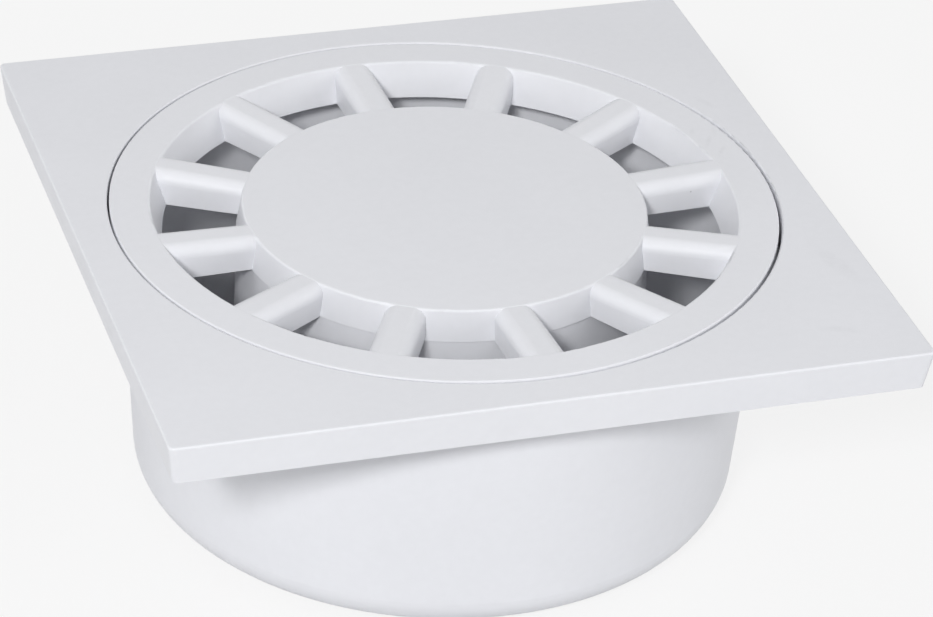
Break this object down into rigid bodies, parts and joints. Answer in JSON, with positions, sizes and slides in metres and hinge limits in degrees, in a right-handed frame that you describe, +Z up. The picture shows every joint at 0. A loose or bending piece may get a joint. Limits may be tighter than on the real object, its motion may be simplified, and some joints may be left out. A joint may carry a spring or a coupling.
{
  "type": "gully trap",
  "caption": "Square white plastic gully trap: round drum with an outlet socket underneath, lift-out grate with round-topped ribs, and an inner bell that makes the water seal.",
  "frame": {"origin": "centre of the drum's flat underside, on the outlet's axis", "axes": "+Z up along the outlet's axis, out of the grate's face; X and Y along the sides of the square plate"},
  "size_m": [0.1498, 0.1498, 0.0617],
  "materials": {
    "body_plastic": "fine satin white",
    "grate_plastic": "fine satin white",
    "bell_plastic": "fine satin white"
  },
  "bodies": {
    "root": {"gully_body": "body_plastic", "grate": "grate_plastic", "bell_trap": "bell_plastic"}
  },
  "joints": []
}
